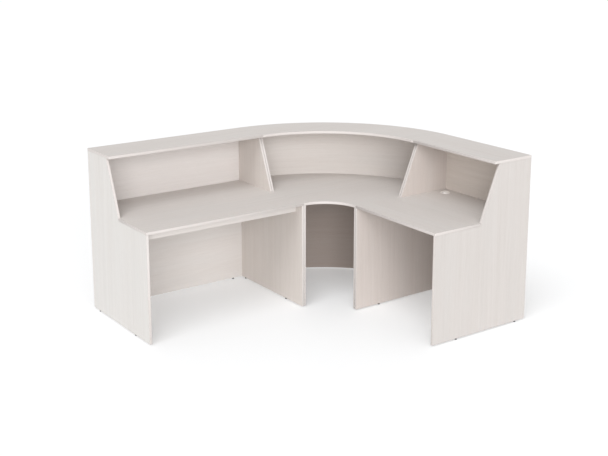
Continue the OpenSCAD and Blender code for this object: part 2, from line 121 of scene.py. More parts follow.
LONG = Section("long", CENTRE + Vector((0, OUTER_R, 0)), Vector((-1, 0, 0)), Vector((0, -1, 0)), LONG_W)
SHORT = Section("short", CENTRE + Vector((OUTER_R, 0, 0)), Vector((0, -1, 0)), Vector((-1, 0, 0)), SHORT_W)

# Each side panel: its section, its name's start, its middle's distance from the section's boundary,
# and the side on which another section's panel lies against it
PANELS = [
    (LONG, "long_inner", BOARD_T / 2, -1),
    (LONG, "long_end", LONG_W - BOARD_T / 2, 0),
    (LONG, "corner_left", -BOARD_T / 2, 1),
    (SHORT, "corner_right", -BOARD_T / 2, 1),
    (SHORT, "short_inner", BOARD_T / 2, -1),
    (SHORT, "short_end", SHORT_W - BOARD_T / 2, 0),
]

# ---- Materials ----


class Shader:
    """A material with one Principled shader. add() makes a node; sockets given as inputs are linked."""

    def __init__(self, name, roughness=0.5, metallic=0.0, **sockets):
        self.material = bpy.data.materials.new(name)
        self.material.use_nodes = True
        self.tree = self.material.node_tree
        self.main = self.tree.nodes["Principled BSDF"]
        self.set(Roughness=roughness, Metallic=metallic, **sockets)

    def set(self, **sockets):
        for key, value in sockets.items():
            self.put(self.main.inputs[key.replace("_", " ")], value)

    def put(self, socket, value):
        if isinstance(value, bpy.types.NodeSocket):
            self.tree.links.new(value, socket)
        else:
            socket.default_value = value

    def add(self, kind, inputs=None, out=0, **settings):
        node = self.tree.nodes.new("ShaderNode" + kind)
        for key, value in settings.items():
            setattr(node, key, value)
        for key, value in (inputs or {}).items():
            self.put(node.inputs[key], value)
        return node.outputs[out]

    def sum(self, a, b, operation="ADD"):
        return self.add("Math", {0: a, 1: b}, operation=operation)

    def scaled(self, vector, scale, shift=(0, 0, 0)):
        return self.add("Mapping", {"Vector": vector, "Scale": scale, "Location": shift})

    def noise(self, vector, detail=2.0, roughness=0.5, scale=1.0):
        settings = {"Vector": vector, "Scale": scale, "Detail": detail, "Roughness": roughness}
        return self.add("TexNoise", settings)

    def span(self, value, low, high, to_low=0.0, to_high=1.0):
        limits = {"From Min": low, "From Max": high, "To Min": to_low, "To Max": to_high}
        return self.add("MapRange", {"Value": value, **limits})

    def blend(self, factor, first, second, mode="MIX"):
        inputs = {0: factor, 6: (*first, 1) if isinstance(first, tuple) else first}
        inputs[7] = (*second, 1) if isinstance(second, tuple) else second
        return self.add("Mix", inputs, out=2, data_type="RGBA", blend_type=mode)

    def bump(self, height, strength, distance):
        settings = {"Height": height, "Strength": strength, "Distance": distance}
        self.set(Normal=self.add("Bump", settings))


def grain_space(shader, grain, seed):
    """Coordinates in metres whose first axis follows the grain. An arc's grain runs round the corner."""
    place = shader.add("TexCoord", out="Object")
    if grain == "arc":
        place = shader.add("VectorMath", {0: place, 1: CENTRE}, operation="SUBTRACT")
    axes = shader.tree.nodes.new("ShaderNodeSeparateXYZ")
    shader.put(axes.inputs[0], place)
    x, y, z = axes.outputs
    if grain == "arc":
        angle = shader.sum(y, x, "ARCTAN2")
        flat = shader.add("CombineXYZ", {0: x, 1: y})
        radius = shader.add("VectorMath", {0: flat}, out="Value", operation="LENGTH")
        ordered = (shader.sum(angle, OUTER_R, "MULTIPLY"), z, radius)
    else:
        ordered = {"x": (x, y, z), "y": (y, x, z), "z": (z, x, y)}[grain]
    turned = shader.add("CombineXYZ", dict(enumerate(ordered)))
    draw = random.Random(seed)
    shift = tuple(draw.uniform(-50, 50) for _ in range(3))
    return shader.add("VectorMath", {0: turned, 1: shift}, operation="ADD")


WOOD_LIGHT = (0.640, 0.602, 0.576)
WOOD_DARK = (0.510, 0.463, 0.430)
WOOD_PORE = (0.370, 0.320, 0.285)
WOOD_GREY = (0.575, 0.556, 0.535)
WOOD_GLOSS = (0.50, 0.62)
WOOD_SMUDGE = (-0.03, 0.05)
WOOD_SPECULAR = 0.34
WOOD_RELIEF = 0.2 * MM
BAND_LIGHT = (0.600, 0.558, 0.534)
BAND_DARK = (0.513, 0.468, 0.438)
GLUE = (0.260, 0.215, 0.180)
# painted shadow: the colour of a band's side where another panel lies against it, standing in for the shadow
# in the joint
JOINT_SHADE = (0.075, 0.060, 0.050)
GLUE_AND_SHADOW_TOP = 0.30  # share of the banding's thickness
GLUE_AND_SHADOW_FADE = 0.7  # where the foot's dark line (glue, and painted joint shadow on a joint's side) has its full colour, as a share of its top
PLAIN_TONE = (1, 1, 1)

# The decor's noise layers: how fine each one is along and across the grain
WARP_SCALE = (0.9, 3.2, 3.2)
BROAD_SCALE = (0.7, 5.0, 5.0)
STREAK_SCALE = (1.1, 46, 46)
CLEAR_SCALE = (1.4, 7, 7)
FIBRE_SCALE = (14, 900, 900)
GREY_SCALE = (1.1, 9, 9)
PORE_SCALE = (55, 1500, 1500)
SMUDGE_SCALE = 6.0
RING_SCALE = 58.0
RING_BEND = 0.16
RING_TILT = 0.6
RING_SPAN = (0.32, 0.68)
NOISE_SPAN = (0.3, 0.7)

# How far each layer moves the colour: the first five from light to dark, then to grey and to pore
BASE_SHARE = 0.40
RING_WEIGHT = 0.10
BROAD_WEIGHT = 0.10
STREAK_WEIGHT = 0.30
FIBRE_WEIGHT = 0.30
GREY_WEIGHT = 0.25
PORE_WEIGHT = 0.32


def wood(shader, place, light=WOOD_LIGHT, dark=WOOD_DARK, tone=PLAIN_TONE, bump=0.25):
    """Bleached wood decor: broad tone, arched growth rings, streaks, fine fibres and short pores."""
    warp = shader.noise(shader.scaled(place, WARP_SCALE), detail=1.0)
    across = shader.add("VectorMath", {0: place, 1: (0, 1, RING_TILT)}, out="Value", operation="DOT_PRODUCT")
    bent = shader.sum(across, shader.sum(warp, RING_BEND, "MULTIPLY"))
    rings = shader.add("TexNoise", {"W": bent, "Scale": RING_SCALE, "Detail": 3.0}, noise_dimensions="1D")
    broad = shader.noise(shader.scaled(place, BROAD_SCALE), detail=2.0)
    streaks = shader.noise(shader.scaled(place, STREAK_SCALE), detail=5.0, roughness=0.62)
    plain = shader.noise(shader.scaled(place, CLEAR_SCALE, (11, 5, 2)), detail=1.0)
    fibres = shader.noise(shader.scaled(place, FIBRE_SCALE), detail=3.0, roughness=0.55)
    streak_share = shader.span(streaks, *NOISE_SPAN, -0.5, 0.5)
    layers = (
        (shader.span(rings, *RING_SPAN, -0.5, 0.5), RING_WEIGHT),
        (shader.span(broad, *NOISE_SPAN, -0.5, 0.5), BROAD_WEIGHT),
        (shader.sum(streak_share, shader.span(plain, 0.38, 0.62, 0.25, 1.0), "MULTIPLY"), STREAK_WEIGHT),
        (shader.span(fibres, *NOISE_SPAN, -0.5, 0.5), FIBRE_WEIGHT),
    )
    share = BASE_SHARE
    for part, weight in layers:
        share = shader.sum(shader.sum(part, weight, "MULTIPLY"), share)
    colour = shader.blend(shader.span(share, 0.0, 1.0), light, dark)
    greyed = shader.noise(shader.scaled(place, GREY_SCALE, (7, 3, 1)), detail=1.0)
    colour = shader.blend(shader.span(greyed, 0.45, 0.75, 0.0, GREY_WEIGHT), colour, WOOD_GREY)
    dashes = shader.noise(shader.scaled(place, PORE_SCALE), detail=1.0)
    groups = shader.span(streaks, 0.42, 0.62)
    pores = shader.sum(shader.span(dashes, 0.62, 0.72), groups, "MULTIPLY")
    colour = shader.blend(shader.sum(pores, PORE_WEIGHT, "MULTIPLY"), colour, WOOD_PORE)
    # painted light and shade: the decor is multiplied by the board's tone, lighter or darker to make up for
    # the light the board gets
    shader.set(Base_Color=shader.blend(1.0, colour, tone, "MULTIPLY"))
    smudges = shader.noise(place, detail=3.0, scale=SMUDGE_SCALE)
    gloss = shader.span(fibres, *NOISE_SPAN, *WOOD_GLOSS)
    roughness = shader.sum(gloss, shader.span(smudges, *NOISE_SPAN, *WOOD_SMUDGE))
    shader.set(Roughness=roughness, Specular_IOR_Level=WOOD_SPECULAR)
    relief = shader.sum(shader.sum(fibres, 0.5, "MULTIPLY"), pores, "SUBTRACT")
    shader.bump(relief, bump, WOOD_RELIEF)
    return shader.material


def staff_side_painted_light(shader, grain, staff_painted_light):
    """Painted light and shade on a front's staff side, where its decor takes the board's painted tone; the
    customer side keeps the plain decor.
    """
    outward = {"x": (0, 1, 0), "y": (1, 0, 0)}.get(grain)
    if grain == "arc":
        place = shader.add("TexCoord", out="Object")
        outward = shader.add("VectorMath", {0: place, 1: CENTRE}, operation="SUBTRACT")
    normal = shader.add("NewGeometry", out="True Normal")
    facing = shader.add("VectorMath", {0: normal, 1: outward}, out="Value", operation="DOT_PRODUCT")
    return shader.blend(shader.span(facing, -0.01, 0.01), staff_painted_light, PLAIN_TONE)


def board_material(name, grain, seed, tone):
    shader = Shader(name)
    # painted light and shade: a front's tone is painted on its staff side only
    if name in FRONTS and tone:
        tone = staff_side_painted_light(shader, grain, tone)
    return wood(shader, grain_space(shader, grain, seed), tone=tone or PLAIN_TONE)


def band_material():
    """Edge banding in the same decor, its grain along the strip, with a glue line at the strip's foot.

    The "height" map holds the height above the foot, and whether another panel lies on that side; on that
    side the line is a painted shadow of the joint.
    """
    shader = Shader("edge_band")
    place = shader.add("UVMap", uv_map="strip")
    wood(shader, place, BAND_LIGHT, BAND_DARK, bump=0.12)
    axes = shader.tree.nodes.new("ShaderNodeSeparateXYZ")
    shader.put(axes.inputs[0], shader.add("UVMap", uv_map="height"))
    line = shader.span(axes.outputs[0], GLUE_AND_SHADOW_TOP, GLUE_AND_SHADOW_TOP * GLUE_AND_SHADOW_FADE)
    wooden = shader.main.inputs["Base Color"].links[0].from_socket
    # glue colour at a free side, painted shadow of the joint where another panel lies against the strip
    glue_and_joint_shadow = shader.blend(axes.outputs[1], GLUE, JOINT_SHADE)
    shader.set(Base_Color=shader.blend(line, wooden, glue_and_joint_shadow))
    return shader.material


SPECK_SCALE = 1800.0
FLOW_SCALE = 60.0
CLOUD_SCALE = 150.0
MOULDED_BUMP = 0.2
MOULDED_RELIEF = 0.05 * MM
PLATED_RELIEF = 0.03 * MM
BEECH_RELIEF = 0.1 * MM


def moulded(name, light, dark, roughness):
    """Spark-eroded moulded plastic with faint flow marks."""
    shader = Shader(name, Specular_IOR_Level=0.45)
    place = shader.add("TexCoord", out="Object")
    speckle = shader.noise(place, detail=2.0, scale=SPECK_SCALE)
    flow = shader.noise(place, detail=3.0, scale=FLOW_SCALE)
    share = shader.sum(shader.sum(speckle, 0.35, "MULTIPLY"), shader.sum(flow, 0.65, "MULTIPLY"))
    shader.set(Base_Color=shader.blend(shader.span(share, 0.35, 0.65), light, dark))
    shader.set(Roughness=shader.span(flow, *NOISE_SPAN, roughness - 0.05, roughness + 0.07))
    shader.bump(speckle, MOULDED_BUMP, MOULDED_RELIEF)
    return shader.material


def plated(name, light, dark, roughness, stretch, bump=0.15):
    """Bare or plated metal: fine drawn lines where stretch is long, cast grain where it is even."""
    shader = Shader(name, metallic=1.0)
    place = shader.add("TexCoord", out="Object")
    lines = shader.noise(shader.scaled(place, stretch), detail=3.0, roughness=0.6)
    clouds = shader.noise(place, detail=3.0, scale=CLOUD_SCALE)
    shader.set(Base_Color=shader.blend(shader.span(clouds, 0.35, 0.65), light, dark))
    shader.set(Roughness=shader.span(lines, *NOISE_SPAN, roughness - 0.08, roughness + 0.10))
    shader.bump(lines, bump, PLATED_RELIEF)
    return shader.material


BEECH_LIGHT = (0.66, 0.47, 0.29)
BEECH_DARK = (0.52, 0.34, 0.19)
BEECH_FLECK = (0.34, 0.19, 0.09)


def beech_material():
    """Bare beech with its short brown flecks."""
    shader = Shader("beech")
    place = shader.add("TexCoord", out="Object")
    lines = shader.noise(place, detail=4.0, scale=420.0, roughness=0.6)
    flecks = shader.noise(shader.scaled(place, (900, 900, 260)), detail=1.0)
    colour = shader.blend(shader.span(lines, *NOISE_SPAN), BEECH_LIGHT, BEECH_DARK)
    colour = shader.blend(shader.span(flecks, 0.62, 0.70, 0.0, 0.6), colour, BEECH_FLECK)
    shader.set(Base_Color=colour, Roughness=shader.span(lines, *NOISE_SPAN, 0.55, 0.72))
    shader.bump(lines, 0.3, BEECH_RELIEF)
    return shader.material


# Each board's node and its grain
BOARD_GRAIN = {
    "long_inner_panel": "z",
    "long_end_panel": "z",
    "corner_left_panel": "z",
    "corner_right_panel": "z",
    "short_inner_panel": "z",
    "short_end_panel": "z",
    "long_worktop": "x",
    "corner_worktop": "x",
    "short_worktop": "y",
    "long_ledge": "x",
    "corner_ledge": "x",
    "short_ledge": "y",
    "long_upper_front": "x",
    "corner_upper_front": "arc",
    "short_upper_front": "y",
    "long_lower_front": "x",
    "corner_lower_front": "arc",
    "short_lower_front": "y",
    "long_rail": "x",
}

FRONTS = [node for node in BOARD_GRAIN if node.endswith("_front")]

# Painted light and shade: boards whose decor is made lighter or darker than the rest, to make up for the
# light they get.
# A front's painted tone is for its staff side only.
BOARD_PAINTED_LIGHT = {
    "short_end_panel": (0.84, 0.84, 0.84),
    "long_end_panel": (1.02, 1.05, 1.06),
    "corner_lower_front": (0.62, 0.555, 0.52),
    "corner_upper_front": (1.05, 1.04, 1.03),
    "long_lower_front": (1.03, 1.03, 1.03),
    "long_upper_front": (1.10, 1.10, 1.11),
    "long_inner_panel": (1.03, 1.01, 0.99),
    "short_inner_panel": (0.96, 0.92, 0.90),
    "short_upper_front": (1.11, 1.08, 1.04),
}


def give(node, material):
    """A CAD node keeps its mesh and takes a material."""
    data = frame["nodes"][node].data
    data.materials.clear()
    data.materials.append(material)


for number, (node, grain) in enumerate(BOARD_GRAIN.items()):
    give(node, board_material(node, grain, number, BOARD_PAINTED_LIGHT.get(node)))

BAND = band_material()
PALE_PLASTIC = moulded("pale_plastic", (0.85, 0.81, 0.775), (0.79, 0.75, 0.715), 0.42)
DECOR_PLASTIC = moulded("decor_plastic", (0.600, 0.560, 0.532), (0.560, 0.518, 0.490), 0.50)
BLACK_PLASTIC = moulded("black_plastic", (0.016, 0.016, 0.017), (0.009, 0.009, 0.010), 0.55)
ZINC_PLATE = plated("zinc_plate", (0.74, 0.76, 0.78), (0.62, 0.64, 0.67), 0.30, (60, 900, 900))
DIE_CAST = plated("die_cast", (0.56, 0.57, 0.59), (0.47, 0.48, 0.50), 0.48, (700, 700, 700), 0.35)
BEECH = beech_material()
give("cam_housings", DIE_CAST)
give("cam_bolts", ZINC_PLATE)
give("dowels", BEECH)
give("foot_sockets", DIE_CAST)

# ---- Piece making ----


def piece(name, mesh, material, body, slot, *stands_for):
    """A new object with this mesh that rides on a body and stands for CAD nodes."""
    if not mesh.materials:
        mesh.materials.append(material)
    made = bpy.data.objects.new(name, mesh)
    bpy.context.scene.collection.objects.link(made)
    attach(made, body)
    if stands_for:
        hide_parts(*stands_for)
    return made


def mesh_of(name, bm, smooth_below=40):
    """A mesh from a bmesh, with outward normals, smooth where faces meet at a low angle."""
    bmesh.ops.remove_doubles(bm, verts=bm.verts, dist=0.001 * MM)
    bmesh.ops.recalc_face_normals(bm, faces=bm.faces)
    limit = math.radians(smooth_below)
    for face in bm.faces:
        face.smooth = True
    for edge in bm.edges:
        edge.smooth = len(edge.link_faces) == 2 and edge.calc_face_angle(math.pi) < limit
    mesh = bpy.data.meshes.new(name)
    bm.to_mesh(mesh)
    bm.free()
    return mesh


# ---- Edge banding: strips with rounded long edges, swept along each board's edge ----

BAND_ROUND = 0.9 * BAND_T
BAND_END_ROUND = 0.3 * MM
PANEL_BAND_W = BOARD_T - 0.6 * MM
JOINT_SHADOW_SHARE = 0.35  # the height map's share on a joint's side, so that the dark line there, a painted shadow of the joint, reaches further up
BAND_SMOOTH = 50
ROUND_STEPS = 6
CORNER_STEPS = 6


def band_outline(width, inset):
    """The strip's cross-section as (across, out) points, from one foot over the top to the other."""
    half = width / 2 - inset
    top = BAND_T - inset
    radius = BAND_ROUND - inset
    right = []
    for i in range(ROUND_STEPS + 1):
        turn = math.radians(90 * i / ROUND_STEPS)
        right.append((half - radius + radius * math.sin(turn), top - radius + radius * math.cos(turn)))
    left = [(-across, out) for across, out in reversed(right)]
    return [(-half, 0)] + left + right + [(half, 0)]


def strip_mesh(name, stations, width, seed, joint=0):
    """stations are (point on the board's edge, outward, across) along the strip.

    On the side where another panel lies against this one, the dark line is a painted shadow of the joint and
    reaches up the round.
    """
    first, second = stations[0], stations[1]
    last, before = stations[-1], stations[-2]
    start_in = first[0] + (second[0] - first[0]).normalized() * BAND_END_ROUND
    end_in = last[0] + (before[0] - last[0]).normalized() * BAND_END_ROUND
    rings = [(*first, BAND_END_ROUND), (start_in, *first[1:], 0)]
    rings += [(*s, 0) for s in stations[1:-1]]
    rings += [(end_in, *last[1:], 0), (*last, BAND_END_ROUND)]
    bm = bmesh.new()
    uv = bm.loops.layers.uv.new("strip")
    height = bm.loops.layers.uv.new("height")
    shift = random.Random(seed).uniform(-40, 40)
    rows, travelled = [], shift

    def level(a, o):
        beside = a * joint > 0
        return (o / BAND_T * (JOINT_SHADOW_SHARE if beside else 1), float(beside))

    for i, (point, out, across, inset) in enumerate(rings):
        if i:
            travelled += (point - rings[i - 1][0]).length
        outline = band_outline(width, inset)
        verts = [bm.verts.new(point + across * a + out * o) for a, o in outline]
        rows.append((verts, travelled, outline))
    for (one, at_one, outline), (two, at_two, _) in zip(rows, rows[1:]):
        for k in range(len(one)):
            n = (k + 1) % len(one)
            quad = [one[k], one[n], two[n], two[k]]
            face = bm.faces.new(quad)
            spots = [(at_one, k), (at_one, n), (at_two, n), (at_two, k)]
            for loop, (along, at) in zip(face.loops, spots):
                loop[uv].uv = (along, outline[at][0] - outline[at][1])
                loop[height].uv = level(*outline[at])
    for verts, travelled, outline in (rows[0], rows[-1]):
        face = bm.faces.new(verts)
        for loop, (a, o) in zip(face.loops, outline):
            loop[uv].uv = (travelled + o, a)
            loop[height].uv = level(a, o)
    return mesh_of(name, bm, BAND_SMOOTH)


def polyline(points, outs, across):
    """Stations along straight edges, with the outward direction turning at each corner."""
    stations = []
    for i, out in enumerate(outs):
        stations.append((points[i], out, across))
        stations.append((points[i + 1], out, across))
        if i + 1 < len(outs):
            for step in range(1, CORNER_STEPS):
                turned = out.slerp(outs[i + 1], step / CORNER_STEPS)
                stations.append((points[i + 1], turned, across))
    return stations


def arc(radius, z, inward, steps=48):
    """Stations round the corner at one height."""
    stations = []
    for i in range(steps + 1):
        turn = math.radians(90 * i / steps)
        radial = Vector((math.cos(turn), math.sin(turn), 0))
        stations.append((CENTRE + radial * radius + UP * z, -radial if inward else radial, UP))
    return stations


def side_strips(section, middle):
    """The three banded edges of a side panel: customer, staff and slanting."""
    deep = section.deep
    slope = (SLANT_FOOT_D - SLANT_TOP_D) / (PANEL_TOP - WORKTOP_TOP)
    slant_t = BAND_T * math.sqrt(1 + slope * slope)

    def line(low, high, out):
        ends = [section.at(middle, *low), section.at(middle, *high)]
        return polyline(ends, [out], section.along)

    customer = line((BAND_T, FLOOR_GAP), (BAND_T, PANEL_TOP), -deep)
    staff = line((DEPTH - BAND_T, FLOOR_GAP), (DEPTH - BAND_T, WORKTOP_UNDER), deep)
    foot = (SLANT_FOOT_D - slant_t, WORKTOP_TOP)
    head = (SLANT_TOP_D - slant_t, PANEL_TOP)
    slant = line(foot, head, deep * (slant_t / BAND_T))
    return {"customer_band": customer, "staff_band": staff, "slant_band": slant}


def straight_strips(section):
    """The banded edges of a straight section's worktop and ledge."""
    far = section.width - BAND_T
    along, deep = section.along, section.deep
    worktop_z = (WORKTOP_UNDER + WORKTOP_TOP) / 2
    ledge_z = (PANEL_TOP + LEDGE_TOP) / 2
    staff = DEPTH - BAND_T
    notch = SLANT_FOOT_D + NOTCH_GAP
    worktop = [(0, staff), (far, staff), (far, notch)]
    ledge = [(0, BAND_T), (far, BAND_T), (far, LEDGE_D - BAND_T), (0, LEDGE_D - BAND_T)]
    return {
        "worktop_band": polyline([section.at(*p, worktop_z) for p in worktop], [deep, along], UP),
        "ledge_band": polyline([section.at(*p, ledge_z) for p in ledge], [-deep, along, deep], UP),
    }


def corner_strips():
    """The curved banded edges of the corner's worktop and ledge."""
    worktop_z = (WORKTOP_UNDER + WORKTOP_TOP) / 2
    ledge_z = (PANEL_TOP + LEDGE_TOP) / 2
    return {
        "worktop_band": arc(INNER_R + BAND_T, worktop_z, True),
        "ledge_customer_band": arc(OUTER_R - BAND_T, ledge_z, False),
        "ledge_staff_band": arc(OUTER_R - LEDGE_D + BAND_T, ledge_z, True),
    }


def add_strips(prefix, strips, width, node, joint=0):
    for name, stations in strips.items():
        full = f"{prefix}_{name}"
        mesh = strip_mesh(full, stations, width, full, joint)
        piece(full, mesh, BAND, "counter", "edge_band", node)


TOP_T = LEDGE_TOP - PANEL_TOP
for section, name, middle, joint in PANELS:
    strips = side_strips(section, middle)
    add_strips(name, strips, PANEL_BAND_W, name.split("_")[0] + "_edge_bands", joint)
for section in (LONG, SHORT):
    add_strips(section.name, straight_strips(section), TOP_T, section.name + "_edge_bands")
add_strips("corner", corner_strips(), TOP_T, "corner_edge_bands")

# ---- Turned shapes ----

FITTING_SMOOTH = 35


def lathe(bm, profile, steps=48, closed=False):
    """Turns (radius, z) points about Z. A closed profile is a ring; an open one ends on the axis."""
    rings = []
    for radius, z in profile:
        if radius < 1e-9:
            rings.append([bm.verts.new((0, 0, z))] * steps)
            continue
        turns = [math.tau * i / steps for i in range(steps)]
        rings.append([bm.verts.new((radius * math.cos(t), radius * math.sin(t), z)) for t in turns])
    pairs = list(zip(rings, rings[1:]))
    if closed:
        pairs.append((rings[-1], rings[0]))
    for one, two in pairs:
        for i in range(steps):
            n = (i + 1) % steps
            corners = dict.fromkeys([one[i], one[n], two[n], two[i]])
            if len(corners) > 2:
                bm.faces.new(list(corners))


def rounded(corner_a, corner, corner_b, radius, steps=4):
    """Points of a round of this radius where the profile turns at corner."""
    at = Vector(corner)
    one = (Vector(corner_a) - at).normalized()
    two = (Vector(corner_b) - at).normalized()
    half = one.angle(two) / 2
    reach = radius / math.tan(half)
    middle = at + (one + two).normalized() * (radius / math.sin(half))
    start, end = at + one * reach - middle, at + two * reach - middle
    turns = [start.normalized().slerp(end.normalized(), i / steps) for i in range(steps + 1)]
    return [tuple(middle + turn.normalized() * radius) for turn in turns]


def rounded_profile(points, radii, closed=False):
    """The profile with each corner rounded by its radius, where 0 keeps it sharp."""
    out, n = [], len(points)
    for i, point in enumerate(points):
        ends = not closed and i in (0, n - 1)
        if ends or not radii[i]:
            out.append(tuple(point))
        else:
            out += rounded(points[i - 1], point, points[(i + 1) % n], radii[i])
    return out


# ---- Levelling feet: moulded pad, hexagon and a threaded M6 stem, all black ----

FOOT_R = 7 * MM
FOOT_PAD_H = 5 * MM
FOOT_HEX_R = 5.2 * MM
FOOT_HEX_TOP = 7.5 * MM
FOOT_TOP = 25.5 * MM
THREAD_R = 2.95 * MM
THREAD_ROOT_R = 2.45 * MM
THREAD_PITCH = 1 * MM
THREAD_SLOPE = 2.6  # how steeply the flanks fall from the crest
FOOT_CHAMFER = 0.6 * MM
FOOT_FLARE = 1 * MM
FOOT_ROUNDS = (0, 0.5 * MM, 0.4 * MM, 0.8 * MM, 0)


def thread(bm, z0, z1, steps=24, rows_a_turn=4):
    """A screw thread as one skin whose radius follows the helix."""
    rows = round((z1 - z0) / THREAD_PITCH * rows_a_turn)
    rings = []
    for j in range(rows + 1):
        z = z0 + (z1 - z0) * j / rows
        fade = min(1, (rows - j) / rows_a_turn)
        ring = []
        for i in range(steps):
            phase = (z / THREAD_PITCH - i / steps) % 1
            crest = max(0, 1 - abs(phase - 0.5) * THREAD_SLOPE) * fade
            radius = THREAD_ROOT_R + (THREAD_R - THREAD_ROOT_R) * crest
            turn = math.tau * i / steps
            ring.append(bm.verts.new((radius * math.cos(turn), radius * math.sin(turn), z)))
        rings.append(ring)
    for one, two in zip(rings, rings[1:]):
        for i in range(steps):
            n = (i + 1) % steps
            bm.faces.new([one[i], one[n], two[n], two[i]])
    bm.faces.new(rings[0][::-1])
    bm.faces.new(rings[-1])


def foot_mesh():
    bm = bmesh.new()
    pad = [(0, 0), (FOOT_R - FOOT_FLARE, 0), (FOOT_R, FOOT_FLARE), (FOOT_R, FOOT_PAD_H), (0, FOOT_PAD_H)]
    lathe(bm, rounded_profile(pad, FOOT_ROUNDS), 40)
    hexagon_profile = [
        (0, FOOT_PAD_H),
        (FOOT_HEX_R, FOOT_PAD_H),
        (FOOT_HEX_R, FOOT_HEX_TOP - FOOT_CHAMFER),
        (FOOT_HEX_R - FOOT_CHAMFER, FOOT_HEX_TOP),
        (0, FOOT_HEX_TOP),
    ]
    lathe(bm, hexagon_profile, 6)
    thread(bm, FOOT_HEX_TOP, FOOT_TOP)
    mesh = mesh_of("levelling_foot", bm, FITTING_SMOOTH)
    mesh.materials.append(BLACK_PLASTIC)
    return mesh


FOOT = foot_mesh()
for node in sorted(n for n in frame["nodes"] if "foot" in n and n != "foot_sockets"):
    low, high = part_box(node)
    made = bpy.data.objects.new(node + "_screw", FOOT)
    made.location = ((low.x + high.x) / 2, (low.y + high.y) / 2, low.z)
    bpy.context.scene.collection.objects.link(made)
    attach(made, frame["nodes"][node]["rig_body"])
    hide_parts(node)

# ---- Cable grommet: sleeve, cap with a cable slot, and shutter with a grip ----
# Radii from the grommet's axis and heights from the worktop

SLEEVE_BORE_R = 27.6 * MM
SLEEVE_R = 29.8 * MM
FLANGE_R = 34.5 * MM
FLANGE_T = 2 * MM
CAP_R = 30 * MM
CAP_Z = (2.3 * MM, 4.8 * MM)
SKIRT_R = (25.2 * MM, 27.2 * MM)
SKIRT_FOOT = -8 * MM
PIVOT_R = 3 * MM
PIVOT_HEAD_R = 4.4 * MM
PIVOT_HEAD_Z = (7.0 * MM, 7.8 * MM)
SHUTTER_R = 26 * MM
SHUTTER_Z = (5.1 * MM, 6.7 * MM)
SHUTTER_BORE_R = 3.06 * MM
SLOT_HALF = 8 * MM
SLOT_IN = 15 * MM
GRIP_HALF_L = 15.6 * MM
GRIP_Y = (-15.4 * MM, -13 * MM)
GRIP_TOP = 8.1 * MM


def arc_points(centre, radius, start, end, steps):
    """Points along an arc in the plane, from one angle to another, in degrees."""
    turns = [math.radians(start + (end - start) * i / steps) for i in range(steps + 1)]
    return [(centre[0] + radius * math.cos(t), centre[1] + radius * math.sin(t)) for t in turns]


def slotted_disc(radius):
    """A disc whose slot is open to the rim and ends in a half round; inset moves the outline inwards."""

    def outline(inset):
        rim, half = radius - inset, SLOT_HALF + inset
        side = math.degrees(math.asin(half / rim))
        around = arc_points((0, 0), rim, 90 + side, 450 - side, 72)
        slot_end = arc_points((0, SLOT_IN), half, 0, -180, 20)
        return around + slot_end

    return outline


def slotted_ring(bore, radius):
    """A ring cut through by the slot."""

    def outline(inset):
        half = SLOT_HALF + inset
        rim, inner = radius - inset, bore + inset
        side = math.degrees(math.asin(half / rim))
        inner_side = math.degrees(math.asin(half / inner))
        around = arc_points((0, 0), rim, 90 + side, 450 - side, 72)
        back = arc_points((0, 0), inner, 450 - inner_side, 90 + inner_side, 72)
        return around + back

    return outline


def round_hole(radius):
    return lambda inset: arc_points((0, 0), radius + inset, 0, 352.5, 47)


def bar(half_length, low, high):
    """A bar along X with round ends."""
    radius = (high - low) / 2
    middle = (low + high) / 2

    def outline(inset):
        reach = half_length - radius
        right = arc_points((reach, middle), radius - inset, -90, 90, 12)
        left = arc_points((-reach, middle), radius - inset, 90, 270, 12)
        return right + left

    return outline


def plate(bm, outlines, low, high, round_top, round_foot, steps=4):
    """A flat plate between two heights, with rounded edges. Outlines after the first are its holes."""
    levels = []
    for i in range(steps + 1):
        turn = math.radians(90 * i / steps)
        levels.append((round_foot * (1 - math.sin(turn)), low + round_foot * (1 - math.cos(turn))))
    for i in range(steps + 1):
        turn = math.radians(90 * i / steps)
        levels.append((round_top * (1 - math.cos(turn)), high - round_top * (1 - math.sin(turn))))
    foot_edges, top_edges = [], []
    for outline in outlines:
        rings = [[bm.verts.new((x, y, z)) for x, y in outline(inset)] for inset, z in levels]
        for one, two in zip(rings, rings[1:]):
            for i, vert in enumerate(one):
                n = (i + 1) % len(one)
                bm.faces.new([vert, one[n], two[n], two[i]])
        for ring, edges in ((rings[0], foot_edges), (rings[-1], top_edges)):
            edges += [bm.edges.get((vert, ring[i - 1])) for i, vert in enumerate(ring)]
    for edges in (foot_edges, top_edges):
        bmesh.ops.triangle_fill(bm, use_beauty=True, edges=edges)


def sleeve_mesh():
    bm = bmesh.new()
    foot = WORKTOP_UNDER - WORKTOP_TOP
    profile = [
        (SLEEVE_BORE_R, foot),
        (SLEEVE_R, foot),
        (SLEEVE_R, 0),
        (FLANGE_R, 0),
        (FLANGE_R, FLANGE_T),
        (SLEEVE_BORE_R, FLANGE_T),
    ]
    radii = [0.3 * MM, 0.8 * MM, 0, 0.2 * MM, 1.4 * MM, 0.5 * MM]
    lathe(bm, rounded_profile(profile, radii, closed=True), 96, closed=True)
    return mesh_of("grommet_ring", bm)


